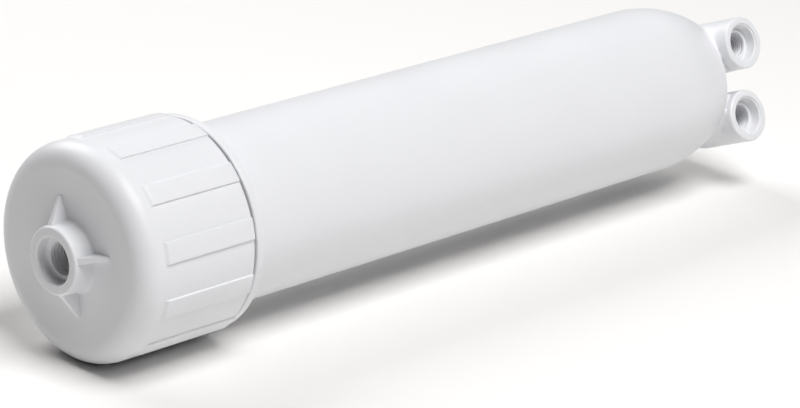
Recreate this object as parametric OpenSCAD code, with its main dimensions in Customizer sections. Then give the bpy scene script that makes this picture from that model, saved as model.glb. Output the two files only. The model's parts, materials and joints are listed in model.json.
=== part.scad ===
// Reverse osmosis membrane vessel: a white moulded housing with a ribbed screw cap
// and a spiral-wound membrane element inside it.
// The vessel's axis is +X. The origin is the mouth of the feed port's thread.
// Angles about the axis are measured from -Y towards +Z.

/* [Housing] */
// Outer radius of the plain tube
tube_r = 31.2; // [30.8:0.1:32]
// Radius of the bore that the element slides into
bore_r = 25.6; // [25.5:0.1:26]
// Where the end dome starts
dome_start = 283; // [280:1:285]
// Outer face of the flat end plate
end_face = 306.8; // [306:0.1:307]
// Radius of the end plate's rim
end_r = 25.8; // [25:0.1:26.5]
// Radius of the collar behind the cap
collar_r = 37.2; // [36:0.1:37.4]
// Front face of the collar
collar_x = 52.1; // [51.8:0.1:53]
// Thickness of the collar
collar_w = 3.3; // [3:0.1:4]

/* [Side ports] */
// Height of the ports' direction above the horizontal, in degrees
port_tilt = 23; // [15:1:30]
// Distance of both port axes along the vessel
port_x = 316.5; // [316:0.1:316.7]
// Outer radius of a side port's boss
port_r = 9.9; // [9.6:0.1:10]
// Sideways place of the permeate port
permeate_n = 8.5; // [8:0.1:9]
// Reach of the permeate port from the vessel's axis
permeate_reach = 29.4; // [28.5:0.1:31]
// Sideways place of the concentrate port
concentrate_n = -19.1; // [-19.5:0.1:-18.5]
// Reach of the concentrate port from the vessel's axis
concentrate_reach = 23.6; // [22.5:0.1:25]

/* [Port threads] */
// Wall radius of the feed port's quarter-inch pipe thread
thread_r = 5.6; // [5.5:0.05:5.7]
// Radius of the seat in front of the feed port's thread
seat_r = 8.1; // [7.8:0.1:8.3]
// Depth of the feed port's seat
feed_seat = 4.2; // [3.8:0.1:4.6]
// Wall radius of the side ports' eighth-inch pipe threads
side_thread_r = 4.5; // [4.3:0.05:4.6]
// Depth of the funnel in front of a side port's thread
side_seat = 4; // [3.5:0.1:4.2]
// Length of a side port's thread
side_thread = 13; // [11:0.5:14]

/* [Screw cap] */
// Outer radius between the grip ribs
cap_r = 37.5; // [37.3:0.1:38]
// How far the grip ribs stand proud
rib_proud = 0.7; // [0.5:0.1:1]
// Number of grip ribs
rib_count = 12; // [10:2:14]
// Width of a grip rib
rib_w = 7.4; // [6.5:0.1:8]
// Turn of the first rib and of the first fin
rib_turn = 15; // [10:1:20]
// Where the grip ribs reach their full height
rib_start = 13; // [12.5:0.1:14]
// Rear face of the cap
cap_rear = 50.6; // [50:0.1:51]
// Foremost line of the cap's rounded front edge
cap_crest = 2.4; // [2:0.1:3]
// Radius of that rounded edge
cap_round = 7.4; // [7:0.1:8]
// Depth of the dished front face below the crest
dish_depth = 1.6; // [1:0.1:1.8]
// Inner face of the cap's floor
cap_floor = 8.4; // [8.2:0.1:8.6]
// Radius of the feed port's boss
feed_boss_r = 11.6; // [11.4:0.1:12]
// Radius at the tips of the four fins
fin_reach = 20.2; // [19:0.1:21]
// Thickness of a fin
fin_w = 2.4; // [1.4:0.1:2.8]

/* [Screw thread] */
// Rise of the cap's thread in one turn
pitch = 5; // [4.5:0.1:5.2]
// Crest radius of the housing's thread
male_r = 34; // [33.9:0.1:34]
// Core radius of the housing's thread
male_core = 32.3; // [32.2:0.1:32.4]
// Gap between crest and core on both threads
thread_gap = 0.3; // [0.3:0.05:0.35]

/* [Membrane element] */
// Overall length of the element
element_len = 298; // [297:0.5:298]
// Outer radius of the core tube
core_r = 8.5; // [8.4:0.05:8.5]
// Inner radius of the core tube
core_bore = 6.2; // [6:0.1:6.4]
// Turns that each leaf makes
leaf_turns = 3.25; // [3:0.05:3.25]
// Steps in one turn of a leaf
leaf_steps = 24; // [16:4:32]

/* [Hidden] */
$fn = 96;

// Gap round pieces that are assembled inside one another
running = 0.05;
collar_rear = collar_x + collar_w;
collar_fillet = 3;

// Mouth of the housing and its nose with the cap's seal
mouth_x = 9.4;
nose_r = 31.6;
nose_end = 23;
nose_lead = 0.8;
mouth_flare = 1.6;
mouth_lead = 1.2;
ring_x = 16.4;
ring_cord = 1.45;
ring_groove_r = 29.15;
ring_mid_r = ring_groove_r + running + ring_cord;
ring_groove_w = 3.8;

// The end dome is one arc that runs from the tube's side to the rim
dome_drop = tube_r - end_r;
dome_run = end_face - dome_start;
dome_arc_r = (dome_run * dome_run + dome_drop * dome_drop) / (2 * dome_drop);

// Permeate socket behind the end plate
end_wall = 4.7;
plate_in = end_face - end_wall;
socket_r = 9.05;
socket_out = 12.5;
socket_mouth = 286;
socket_floor = 308.3;
hub_end = end_face + 4.4;
cone_start = dome_start + 6;
cone_drop = 6;

// Bosses and webs of the side ports, and the channels that feed them
permeate_back = -6;
concentrate_back = -5;
web_sink = 2;
web_inset = 1;
channel_r = 2.5;
channel_side = 3;
channel_lead = 4;
drill_r = 3;
step_r = 7.4;
step_depth = 0.4;
funnel_out = 6.8;
funnel_in = 6.2;

// Cap's inside
seal_bore = nose_r + 0.6;
female_root = male_r + thread_gap;
female_r = male_core + thread_gap;
female_start = 23.6;
female_taper = 1.5;
cap_corner = 0.8;
cap_lip = 0.8;

// Outside details of the cap
boss_soft = 1;
boss_soft_front = 0.7;
boss_draft = 0.3;
rib_slant = 1.2;
rib_root = 1;
rib_end_gap = 0.2;
fin_root = seat_r + 2;

// Both helical ridges have the same section
ridge_base = 2.6;
ridge_top = 1.2;
ridge_sink = 0.5;
ridge_steps = 36;
male_from = 26;
male_turns = 3.5;
// Half a pitch from the housing's ridge keeps the two apart
female_from = male_from + 1.5 * pitch;
female_turns = 2.7;

// Element
element_x = 9.9;
element_end = element_x + element_len;
plug_flange = 2.1;
plug_reach = 10;
feed_cap_x = 18;
feed_cap_w = 12;
feed_cap_r = 23;
brine_cap_x = 272;
brine_cap_w = 8;
brine_cap_r = 22.3;
cap_rim_in = 19.5;
cap_hub_r = 11;
cap_spokes = 6;
spoke_w = 2;
end_gap = 0.3;
leaf_x = feed_cap_x + feed_cap_w + end_gap;
leaf_len = brine_cap_x - end_gap - leaf_x;
seal_groove_r = 21.6;
seal_groove_x = feed_cap_x + 2.2;
seal_w = 7;
seal_gap = 0.1;
lip_r = bore_r - seal_gap;
seal_heel = 1.1;
seal_neck = 1.4;
seal_neck_x = 4.2;
seal_lip_t = 0.9;
seal_back = 2.6;
stub_rings = [element_end - 15, element_end - 8.6];
hole_count = 10;
hole_r = 1.2;
hole_first = 12;
hole_step = 24;
small_cord = 0.85;
small_groove_r = socket_r - running - 2 * small_cord - running;
small_groove_w = 2.2;

// Stack of one leaf: membrane, feed spacer, membrane, permeate carrier
membrane_t = 0.3;
spacer_t = 0.6;
carrier_t = 0.4;
layer_gap = 0.05;
stack_t = 2 * membrane_t + spacer_t + carrier_t + 4 * layer_gap;
wind_r0 = core_r + 0.25;
wind_pitch = 2 * stack_t;
wound_r = wind_r0 + stack_t + wind_pitch * leaf_turns;
wrap_t = 0.25;
wrap_r = wound_r + running + wrap_t;

// Lies a shape made about Z along the vessel
module along_x() {
    rotate([0, 90, 0]) children();
}

// A solid of revolution from an outline of [radius, x] points
module turned(outline) {
    along_x() rotate_extrude() polygon(outline);
}

// A plain round bar or drill from x0 to x1
module bar(r, x0, x1) {
    translate([x0, 0, 0]) along_x() cylinder(r = r, h = x1 - x0);
}

// A shape made towards -Y, turned to an angle about the axis
module at_angle(a) {
    rotate([-a, 0, 0]) children();
}

// A round bar along the side ports' direction, from reach q0 to reach q1
module port_bar(r, n, q0, q1, r_out = 0) {
    at_angle(port_tilt) translate([port_x, -q0, n]) rotate([90, 0, 0])
        cylinder(r1 = r, r2 = r_out > 0 ? r_out : r, h = q1 - q0);
}

// Corner points of a helical ridge's section at one step
function ridge_ring(r_in, r_out, w_in, w_out, x0, rise, a) = [
    for (c = [[r_in, -w_in], [r_out, -w_out], [r_out, w_out], [r_in, w_in]])
        [x0 + rise * a / 360 + c[1] / 2, -c[0] * cos(a), c[0] * sin(a)]
];

// A right-handed helical ridge from radius r_in to r_out, with its width at each
module helix(r_in, r_out, w_in, w_out, x0, turns) {
    count = floor(turns * ridge_steps);
    pts = [for (i = [0:count]) each ridge_ring(r_in, r_out, w_in, w_out, x0, pitch, i * 360 / ridge_steps)];
    sides = [for (i = [0:count - 1]) for (k = [0:3])
        [4 * i + k, 4 * i + 4 + k, 4 * i + 4 + (k + 1) % 4, 4 * i + (k + 1) % 4]];
    ends = [[0, 1, 2, 3], [4 * count + 3, 4 * count + 2, 4 * count + 1, 4 * count]];
    mirror([0, 0, 1]) polyhedron(points = pts, faces = concat(ends, sides), convexity = 8);
}

// Outer outline of the end dome, as [radius, x] in two dimensions with a true arc
module dome_section() {
    intersection() {
        translate([0, dome_start]) square([tube_r, dome_run]);
        translate([tube_r - dome_arc_r, dome_start]) circle(r = dome_arc_r, $fn = 720);
    }
}

module housing_outside() {
    along_x() rotate_extrude() {
        polygon([[0, mouth_x], [nose_r - nose_lead, mouth_x], [nose_r, mouth_x + nose_lead],
            [nose_r, nose_end], [0, nose_end]]);
        translate([0, nose_end]) square([male_core, collar_x - nose_end]);
        translate([0, collar_x]) square([collar_r, collar_w]);
        translate([0, collar_rear]) square([tube_r, dome_start - collar_rear]);
        difference() {
            translate([0, collar_rear]) square([tube_r + collar_fillet, collar_fillet]);
            translate([tube_r + collar_fillet, collar_rear + collar_fillet]) circle(r = collar_fillet);
        }
        dome_section();
    }
}

// One side port with the web that carries it on the end plate
module side_port(n, reach, back) {
    port_bar(port_r, n, back, reach);
    intersection() {
        at_angle(port_tilt) translate([end_face - web_sink, -reach, n - port_r])
            cube([port_x - end_face + web_sink, reach - back, 2 * port_r]);
        bar(end_r - web_inset, end_face - web_sink, port_x);
    }
}

// Step, funnel, thread and drilled end of a side port, down to the vessel's middle plane
module port_bores(n, reach) {
    seat_floor = reach - side_seat;
    port_bar(step_r, n, reach - step_depth, reach + 1);
    port_bar(funnel_in, n, seat_floor, reach, funnel_out);
    port_bar(side_thread_r, n, seat_floor - side_thread, reach);
    port_bar(drill_r, n, 0, seat_floor - side_thread / 2);
}

// Channel along the vessel that opens into a side port's drilled end
module channel(n, start) {
    at_angle(port_tilt) translate([0, -channel_side, n]) bar(channel_r, start, port_x);
}

// One-piece housing: threaded mouth, collar, tube, dome and two side ports
module housing_body() {
    color("white") {
        difference() {
            union() {
                housing_outside();
                bar(socket_out, end_face - 1, hub_end);
                side_port(permeate_n, permeate_reach, permeate_back);
                side_port(concentrate_n, concentrate_reach, concentrate_back);
            }
            // Bore for the element, which leaves the socket standing in the middle
            turned([[0, mouth_x - 1], [bore_r + mouth_flare, mouth_x - 1],
                [bore_r + mouth_flare, mouth_x], [bore_r, mouth_x + mouth_lead],
                [bore_r, cone_start], [bore_r - cone_drop, plate_in], [socket_out, plate_in],
                [socket_out, socket_mouth], [0, socket_mouth]]);
            bar(socket_r, socket_mouth - 1, socket_floor);
            // Seal groove round the nose
            turned([[ring_groove_r, ring_x - ring_groove_w / 2], [nose_r + 1, ring_x - ring_groove_w / 2],
                [nose_r + 1, ring_x + ring_groove_w / 2], [ring_groove_r, ring_x + ring_groove_w / 2]]);
            port_bores(permeate_n, permeate_reach);
            port_bores(concentrate_n, concentrate_reach);
            channel(permeate_n - channel_side, socket_floor - 1);
            channel(concentrate_n + channel_side, plate_in - channel_lead);
        }
        helix(male_core - ridge_sink, male_r, ridge_base, ridge_top, male_from, male_turns);
    }
}

module cap_outside() {
    // Rounded cup with a shallow dish in its front
    along_x() rotate_extrude() {
        translate([0, cap_crest + cap_round]) square([cap_r, cap_rear - cap_crest - cap_round]);
        translate([cap_r - cap_round, cap_crest + cap_round]) circle(r = cap_round);
        polygon([[0, cap_crest + dish_depth], [feed_boss_r, cap_crest + dish_depth],
            [cap_r - cap_round - 1, cap_crest + 0.1], [cap_r - cap_round, cap_crest + cap_round],
            [0, cap_crest + cap_round]]);
    }
    // Feed port's boss with a softened rim
    turned([[0, -feed_seat], [feed_boss_r - boss_soft, -feed_seat],
        [feed_boss_r - boss_draft, boss_soft_front - feed_seat],
        [feed_boss_r + boss_draft, cap_floor - 1], [0, cap_floor - 1]]);
}

// Grip ribs with slanted front ends
module grip_ribs() {
    intersection() {
        turned([[cap_r - rib_root, rib_start - rib_root - rib_slant], [cap_r, rib_start - rib_slant],
            [cap_r + rib_proud, rib_start], [cap_r + rib_proud, cap_rear - rib_end_gap],
            [cap_r - rib_root, cap_rear - rib_end_gap]]);
        for (i = [0:rib_count - 1])
            at_angle(rib_turn + i * 360 / rib_count)
                translate([0, -cap_r - 2, -rib_w / 2]) cube([cap_rear, 5, rib_w]);
    }
}

module fins() {
    for (i = [0:3])
        at_angle(rib_turn + 90 * i)
            translate([0, 0, fin_w / 2]) rotate([180, 0, 0]) linear_extrude(height = fin_w)
                polygon([[boss_soft - feed_seat, fin_root], [boss_soft - feed_seat, feed_boss_r],
                    [cap_crest, fin_reach], [cap_crest + dish_depth + 1, fin_reach],
                    [cap_floor - 1, fin_root]]);
}

// Screw cap with its feed port, fins, grip ribs and inner thread
module screw_cap() {
    color("whitesmoke") {
        difference() {
            union() {
                cap_outside();
                grip_ribs();
                fins();
            }
            turned([[0, cap_floor], [seal_bore - cap_corner, cap_floor], [seal_bore, cap_floor + cap_corner],
                [seal_bore, female_start - female_taper], [female_root, female_start],
                [female_root, cap_rear - cap_lip], [female_root + cap_lip, cap_rear],
                [female_root + cap_lip, cap_rear + 1], [0, cap_rear + 1]]);
            bar(seat_r, -feed_seat - 1, 0);
            bar(thread_r, -1, cap_floor + 1);
        }
        helix(female_r, female_root + ridge_sink, ridge_top, ridge_base, female_from, female_turns);
    }
}

module o_ring(mid_r, cord, x) {
    translate([x, 0, 0]) along_x() rotate_extrude() translate([mid_r, 0]) circle(r = cord, $fn = 48);
}

module cap_o_ring() {
    color("dimgray") o_ring(ring_mid_r, ring_cord, ring_x);
}

module permeate_o_ring(x) {
    color("dimgray") o_ring(small_groove_r + running + small_cord, small_cord, x);
}

// Perforated tube that the leaves are wound on and that carries the permeate away
module core_tube() {
    color("ivory") difference() {
        bar(core_r, element_x + plug_flange, element_end);
        bar(core_bore, element_x, element_end + 1);
        for (x = stub_rings)
            turned([[small_groove_r, x - small_groove_w / 2], [core_r + 1, x - small_groove_w / 2],
                [core_r + 1, x + small_groove_w / 2], [small_groove_r, x + small_groove_w / 2]]);
        for (i = [0:hole_count - 1])
            translate([leaf_x + hole_first + i * hole_step, 0, 0]) rotate([90 * (i % 2), 0, 0])
                cylinder(r = hole_r, h = 2 * core_r + 2, center = true, $fn = 24);
    }
}

// Plug that closes the core tube at the feed end
module core_plug() {
    soft = 0.8;
    color("ivory") {
        turned([[0, element_x], [core_r - soft, element_x], [core_r, element_x + soft],
            [core_r, element_x + plug_flange], [0, element_x + plug_flange]]);
        bar(core_bore - running, element_x + 1, element_x + plug_reach);
    }
}

// Spoked end piece that keeps the windings from sliding out along the core
module spider(x, w, rim_out) {
    difference() {
        bar(cap_hub_r, x, x + w);
        bar(core_r + running, x - 1, x + w + 1);
    }
    difference() {
        bar(rim_out, x, x + w);
        bar(cap_rim_in, x - 1, x + w + 1);
    }
    for (i = [0:cap_spokes - 1])
        at_angle(i * 360 / cap_spokes)
            translate([x, -cap_rim_in - 1, -spoke_w / 2]) cube([w, cap_rim_in - cap_hub_r + 2, spoke_w]);
}

module feed_end_cap() {
    color("gainsboro") difference() {
        spider(feed_cap_x, feed_cap_w, feed_cap_r);
        turned([[seal_groove_r, seal_groove_x], [feed_cap_r + 1, seal_groove_x],
            [feed_cap_r + 1, seal_groove_x + seal_w], [seal_groove_r, seal_groove_x + seal_w]]);
    }
}

module brine_end_cap() {
    color("gainsboro") spider(brine_cap_x, brine_cap_w, brine_cap_r);
}

// Cup seal whose lip opens towards the feed and closes the gap to the bore
module brine_seal() {
    x0 = seal_groove_x + seal_gap;
    x1 = seal_groove_x + seal_w - seal_gap;
    color("dimgray") turned([[seal_groove_r + running, x0], [seal_groove_r + seal_heel, x0],
        [seal_groove_r + seal_neck, x0 + seal_neck_x], [lip_r - seal_lip_t, x0 + seal_gap],
        [lip_r, x0 + 2 * seal_gap], [seal_groove_r + seal_back, x1], [seal_groove_r + running, x1]]);
}

// One point of a winding: depth into the stack, and turn in degrees from the leaf's start
function wind(depth, a, start) = let (r = wind_r0 + depth + wind_pitch * a / 360)
    [-r * cos(a + start), r * sin(a + start)];

// Both faces of a layer of the stack, as a closed outline
function layer(depth, t, start, turns) = let (n = floor(turns * leaf_steps)) concat(
    [for (i = [0:n]) wind(depth, i * 360 / leaf_steps, start)],
    [for (i = [n:-1:0]) wind(depth + t, i * 360 / leaf_steps, start)]);

// Spreads a section across the vessel to the length of the windings
module wound(inset) {
    translate([leaf_x + inset, 0, 0]) rotate([90, 0, 90])
        linear_extrude(height = leaf_len - 2 * inset) children();
}

// Membrane folded round the feed spacer, joined at the core
module membrane_leaf(start) {
    far = membrane_t + spacer_t + 2 * layer_gap;
    n = floor(leaf_turns * leaf_steps);
    outline = concat(
        [for (i = [0:n]) wind(0, i * 360 / leaf_steps, start)],
        [for (i = [n:-1:1]) wind(membrane_t, i * 360 / leaf_steps, start)],
        [for (i = [1:n]) wind(far, i * 360 / leaf_steps, start)],
        [for (i = [n:-1:0]) wind(far + membrane_t, i * 360 / leaf_steps, start)]);
    color("lightyellow") wound(0) polygon(outline);
}

module feed_spacer(start) {
    // The net starts two steps after the fold
    lead = 2 * 360 / leaf_steps;
    depth = membrane_t + layer_gap + wind_pitch * lead / 360;
    color("lightskyblue") wound(1) polygon(layer(depth, spacer_t, start + lead, leaf_turns - lead / 360));
}

module permeate_carrier(start) {
    depth = 2 * membrane_t + spacer_t + 3 * layer_gap;
    color("lavender") wound(1) polygon(layer(depth, carrier_t, start, leaf_turns));
}

// Film wrapped round the finished windings
module outer_wrap() {
    color("white") difference() {
        bar(wrap_r, leaf_x, leaf_x + leaf_len);
        bar(wound_r + running, leaf_x - 1, leaf_x + leaf_len + 1);
    }
}

housing_body();
screw_cap();
cap_o_ring();
core_tube();
core_plug();
feed_end_cap();
brine_end_cap();
brine_seal();
permeate_o_ring(stub_rings[0]);  // permeate_o_ring_front
permeate_o_ring(stub_rings[1]);  // permeate_o_ring_rear
membrane_leaf(0);  // membrane_leaf_1
membrane_leaf(180);  // membrane_leaf_2
feed_spacer(0);  // feed_spacer_1
feed_spacer(180);  // feed_spacer_2
permeate_carrier(0);  // permeate_carrier_1
permeate_carrier(180);  // permeate_carrier_2
outer_wrap();
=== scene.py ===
"""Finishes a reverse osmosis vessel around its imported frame: threaded shells, materials and a stage."""
import json
import math

import bmesh
import bpy
import numpy as np
from bpy.props import FloatProperty, FloatVectorProperty, IntProperty, PointerProperty
from mathutils import Matrix, Vector


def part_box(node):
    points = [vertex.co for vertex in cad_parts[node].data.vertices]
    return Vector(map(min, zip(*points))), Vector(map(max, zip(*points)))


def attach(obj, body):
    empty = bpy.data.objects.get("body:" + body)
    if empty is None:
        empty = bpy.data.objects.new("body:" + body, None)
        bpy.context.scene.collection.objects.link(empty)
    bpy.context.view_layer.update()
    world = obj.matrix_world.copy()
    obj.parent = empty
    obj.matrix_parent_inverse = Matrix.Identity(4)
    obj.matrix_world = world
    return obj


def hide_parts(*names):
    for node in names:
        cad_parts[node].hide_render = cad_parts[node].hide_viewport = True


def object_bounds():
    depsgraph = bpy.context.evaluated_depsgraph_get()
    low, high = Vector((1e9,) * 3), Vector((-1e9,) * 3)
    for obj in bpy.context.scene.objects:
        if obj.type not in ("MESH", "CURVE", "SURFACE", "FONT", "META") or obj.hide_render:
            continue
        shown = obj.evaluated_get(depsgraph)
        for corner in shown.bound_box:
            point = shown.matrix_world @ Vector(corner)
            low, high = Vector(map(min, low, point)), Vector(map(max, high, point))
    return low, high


bl_info = {
    "name": "Membrane vessel",
    "version": (1, 0, 0),
    "blender": (4, 5, 0),
    "location": "3D View > Sidebar > Vessel",
    "description": "Builds the threaded shells, the materials and the stage of a membrane vessel",
    "category": "Object",
}

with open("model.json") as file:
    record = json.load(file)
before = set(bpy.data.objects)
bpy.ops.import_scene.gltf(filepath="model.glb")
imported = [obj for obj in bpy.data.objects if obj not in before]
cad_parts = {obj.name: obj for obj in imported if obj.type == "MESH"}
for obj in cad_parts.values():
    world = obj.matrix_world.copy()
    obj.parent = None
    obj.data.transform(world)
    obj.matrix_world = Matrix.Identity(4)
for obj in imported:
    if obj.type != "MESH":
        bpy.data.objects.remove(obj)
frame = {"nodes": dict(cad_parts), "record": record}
cad_low, cad_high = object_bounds()

MM = 0.001
AXIS = Vector((1, 0, 0))
SLOT_PLASTIC = "white_polypropylene"
MOUNTS = {mount["name"]: mount for mount in frame["record"]["mounts"]}
HOUSING_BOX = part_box("housing_body")
CAP_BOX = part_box("screw_cap")
RING_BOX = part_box("cap_o_ring")
TUBE_R = -MOUNTS["clip_band"]["pos_m"][2]

# The end plate and its hub's face lie this far in front of the side ports' rearmost line
PORT_REAR = HOUSING_BOX[1][0]
END_FACE_BACK = 19.6 * MM
HUB_BACK = 15.2 * MM

# Both side ports point along PORT_DIR and sit side by side along SIDE_DIR
PORT_DIR = Vector(MOUNTS["permeate_port"]["axis"]).normalized()
SIDE_DIR = AXIS.cross(PORT_DIR).normalized()
if SIDE_DIR.z < 0:
    SIDE_DIR = -SIDE_DIR

# Pipe threads of the feed port and the side ports: crest radius, depth and pitch
INCH = 25.4 * MM
THREAD_R = MOUNTS["feed_port"]["dims"]["r_mm"] * MM
THREAD_DEPTH = 0.75 * MM
PIPE_PITCH = INCH / 18
SIDE_THREAD_R = MOUNTS["permeate_port"]["dims"]["r_mm"] * MM
SIDE_THREAD_DEPTH = 0.5 * MM
SIDE_PITCH = INCH / 27

# Thread between the housing and the cap: widths of its ridge at the wall and at the crest
RIDGE_BASE = 2.7 * MM
RIDGE_TOP = 1.2 * MM


def length(name, text, default, **more):
    """A length property in metres."""
    return FloatProperty(name=name, description=text, default=default, unit="LENGTH", precision=5, **more)


def colour(name, text, default):
    """A colour property."""
    return FloatVectorProperty(
        name=name, description=text, default=default, subtype="COLOR", min=0, max=1, size=3
    )


class VesselHousing(bpy.types.PropertyGroup):
    tube_r: length("Tube radius", "Outside of the plain tube", TUBE_R)
    bore_r: length("Bore radius", "Inside of the tube", 25.6 * MM)
    collar_r: length("Collar radius", "Ring behind the cap", HOUSING_BOX[1][2])
    collar_x: length("Collar place", "Front face of the collar", 52.1 * MM)
    collar_w: length("Collar width", "Thickness of the collar", 3.3 * MM)
    collar_fillet: length("Collar fillet", "Fillet between the collar and the tube", 3 * MM)
    core_r: length("Thread core", "Radius under the cap's thread", 32.3 * MM)
    crest_r: length("Thread crest", "Radius over the cap's thread", 34 * MM)
    nose_r: length("Nose radius", "Radius of the sealing nose", 31.6 * MM)
    nose_end: length("Nose end", "Where the nose meets the thread's core", 23 * MM)
    groove_r: length("Groove radius", "Floor of the seal groove", 29.15 * MM)
    groove_w: length("Groove width", "Width of the seal groove", 3.8 * MM)
    dome_start: length("Dome start", "Where the tube turns into the dome", 283 * MM)
    end_face: length("End face", "Flat end plate", PORT_REAR - END_FACE_BACK)
    end_r: length("End radius", "Radius of the end plate's rim", 25.8 * MM)
    port_r: length("Port radius", "Outside of a side port's boss", 9.9 * MM)
    seat_r: length("Step radius", "Step inside the rim of a side port", 7.4 * MM)
    side_seat: length("Side seat", "Depth of a side port's funnel", 4 * MM)
    blend: length("Blend", "Fillet between the bosses and the end plate", 3.2 * MM)
    rim_round: length("Rim rounding", "Softness of the end plate's rim", 0.4 * MM)
    cell: length("Cell", "Size of the end block's mesh cells", 0.55 * MM)
    pitch: length("Pitch", "Rise of the cap's thread in a turn", 5 * MM)
    thread_x: length("Thread start", "Where the housing's thread starts", 26 * MM)
    thread_turns: FloatProperty(
        name="Thread turns", description="Turns of the housing's thread", default=3.5
    )


class VesselCap(bpy.types.PropertyGroup):
    cap_r: length("Cap radius", "Outside of the cap between the ribs", 37.5 * MM)
    rib_proud: length("Rib height", "How far the grip ribs stand proud", 0.7 * MM)
    rib_count: IntProperty(name="Ribs", description="Number of grip ribs", default=12)
    rib_w: length("Rib width", "Width of a grip rib", 7.4 * MM)
    rib_foot: length("Rib foot", "Where the grip ribs begin", 12 * MM)
    rib_slant: length("Rib slant", "Length of a rib's slanted front", 1.1 * MM)
    turn: FloatProperty(
        name="Turn", description="Turn of the first rib and fin", default=math.radians(15), subtype="ANGLE"
    )
    crest_x: length("Crest", "Foremost line of the rounded front edge", 2.4 * MM)
    round_r: length("Edge radius", "Rounding of the cap's front edge", 7.4 * MM)
    dish: length("Dish", "Depth of the dished front face", 1.6 * MM)
    floor_x: length("Floor", "Inner face of the cap's floor", 8.4 * MM)
    boss_r: length("Boss radius", "Feed port's boss at its rim", 11.6 * MM)
    seat: length("Feed seat", "Depth of the feed port's seat", 4.2 * MM)
    fin_reach: length("Fin reach", "Radius at the tips of the fins", 20.2 * MM)
    fin_w: length("Fin width", "Thickness of a fin at the boss", 2.5 * MM)
    fin_tip: length("Fin tip", "Thickness of a fin at its tip", 1.1 * MM)
    seal_r: length("Seal bore", "Bore that the ring seals against", 32.2 * MM)
    root_r: length("Thread root", "Bore between the turns of the thread", 34.3 * MM)
    crest_r: length("Thread crest", "Radius inside the turns of the thread", 32.6 * MM)


class VesselFinish(bpy.types.PropertyGroup):
    plastic: colour("Plastic", "White moulded polypropylene", (0.822, 0.826, 0.85))
    rubber: colour("Rubber", "Seals", (0.02, 0.02, 0.021))
    core: colour("Core", "Core tube and plug", (0.78, 0.75, 0.66))
    end_cap: colour("End caps", "Spoked end pieces", (0.62, 0.65, 0.68))
    membrane: colour("Membrane", "Membrane film", (0.84, 0.8, 0.68))
    spacer: colour("Spacer", "Net between the films", (0.5, 0.6, 0.7))
    carrier: colour("Carrier", "Knitted permeate cloth", (0.8, 0.8, 0.77))
    wrap: colour("Wrap", "Outer film", (0.72, 0.78, 0.84))
    floor: colour("Floor", "Pale studio floor", (0.91, 0.9, 0.885))


# ---------------------------------------------------------------- mesh helpers


def start_clean():
    """Leaves edit mode and deselects everything, so that no node is caught by an operator."""
    if bpy.context.object and bpy.context.object.mode != "OBJECT":
        bpy.ops.object.mode_set(mode="OBJECT")
    bpy.ops.object.select_all(action="DESELECT")


def only(piece):
    """Makes one piece the selected and active one."""
    start_clean()
    piece.select_set(True)
    bpy.context.view_layer.objects.active = piece


def edit(piece):
    """Opens one piece in edit mode."""
    only(piece)
    bpy.ops.object.mode_set(mode="EDIT")


def done():
    """Leaves edit mode."""
    bpy.ops.object.mode_set(mode="OBJECT")


def pick(kind, test):
    """In edit mode, selects the elements of a kind that pass the test."""
    bpy.ops.mesh.select_mode(type=kind)
    bpy.ops.mesh.select_all(action="DESELECT")
    mesh = bpy.context.edit_object.data
    work = bmesh.from_edit_mesh(mesh)
    items = {"VERT": work.verts, "EDGE": work.edges, "FACE": work.faces}[kind]
    for item in [item for item in items if test(item)]:
        item.select_set(True)
    work.select_flush_mode()
    bmesh.update_edit_mesh(mesh)


def settle(piece, smooth):
    """Puts a piece's place into its mesh and shades it smooth up to an angle in degrees."""
    only(piece)
    bpy.ops.object.transform_apply(location=True, rotation=True, scale=True)
    bpy.ops.object.shade_smooth_by_angle(angle=math.radians(smooth))
    return piece


def finish_modifier(piece, kind, **settings):
    """Adds a modifier, sets it and applies it."""
    only(piece)
    modifier = piece.modifiers.new(kind.title(), kind)
    for key, value in settings.items():
        setattr(modifier, key, value)
    bpy.ops.object.modifier_apply(modifier=modifier.name)


def join(name, pieces):
    """Joins pieces into the first one."""
    start_clean()
    for piece in pieces:
        piece.select_set(True)
    bpy.context.view_layer.objects.active = pieces[0]
    bpy.ops.object.join()
    pieces[0].name = pieces[0].data.name = name
    return pieces[0]


def coords(piece):
    """A mesh's points as an array."""
    flat = np.empty(len(piece.data.vertices) * 3)
    piece.data.vertices.foreach_get("co", flat)
    return flat.reshape(-1, 3)


def put_coords(piece, points):
    """Writes an array of points back into a mesh."""
    piece.data.vertices.foreach_set("co", np.asarray(points, float).ravel())
    piece.data.update()


# ---------------------------------------------------------------- outlines


def arc(centre, radius, start, end, step):
    """Points of an arc from one angle to another, in degrees, as (x, radius)."""
    count = max(2, math.ceil(abs(end - start) / step))
    angles = [math.radians(start + (end - start) * i / count) for i in range(count + 1)]
    return [(centre[0] + radius * math.cos(a), centre[1] + radius * math.sin(a)) for a in angles]


# A corner that turns less than this many radians is straight, and points this close are one
STRAIGHT = 0.01
DOUBLES = 2e-6


def rounded(corners, step=15):
    """An outline through (x, radius, rounding) corners, each with an arc of its rounding."""
    out = []
    for i, (x, r, size) in enumerate(corners):
        here = Vector((x, r))
        if size == 0 or i in (0, len(corners) - 1):
            out.append((x, r))
            continue
        to_last = (Vector(corners[i - 1][:2]) - here).normalized()
        to_next = (Vector(corners[i + 1][:2]) - here).normalized()
        turn = math.pi - to_last.angle(to_next)
        if turn < STRAIGHT:
            out.append((x, r))
            continue
        reach = size * math.tan(turn / 2)
        middle = (to_last + to_next).normalized()
        centre = here + middle * (size / math.cos(turn / 2))
        first = here + to_last * reach - centre
        last = here + to_next * reach - centre
        sweep = first.angle_signed(last)
        count = max(2, math.ceil(math.degrees(abs(sweep)) / step))
        for k in range(count + 1):
            a = sweep * k / count
            out.append(
                (
                    centre.x + first.x * math.cos(a) + first.y * math.sin(a),
                    centre.y - first.x * math.sin(a) + first.y * math.cos(a),
                )
            )
    return out


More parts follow.
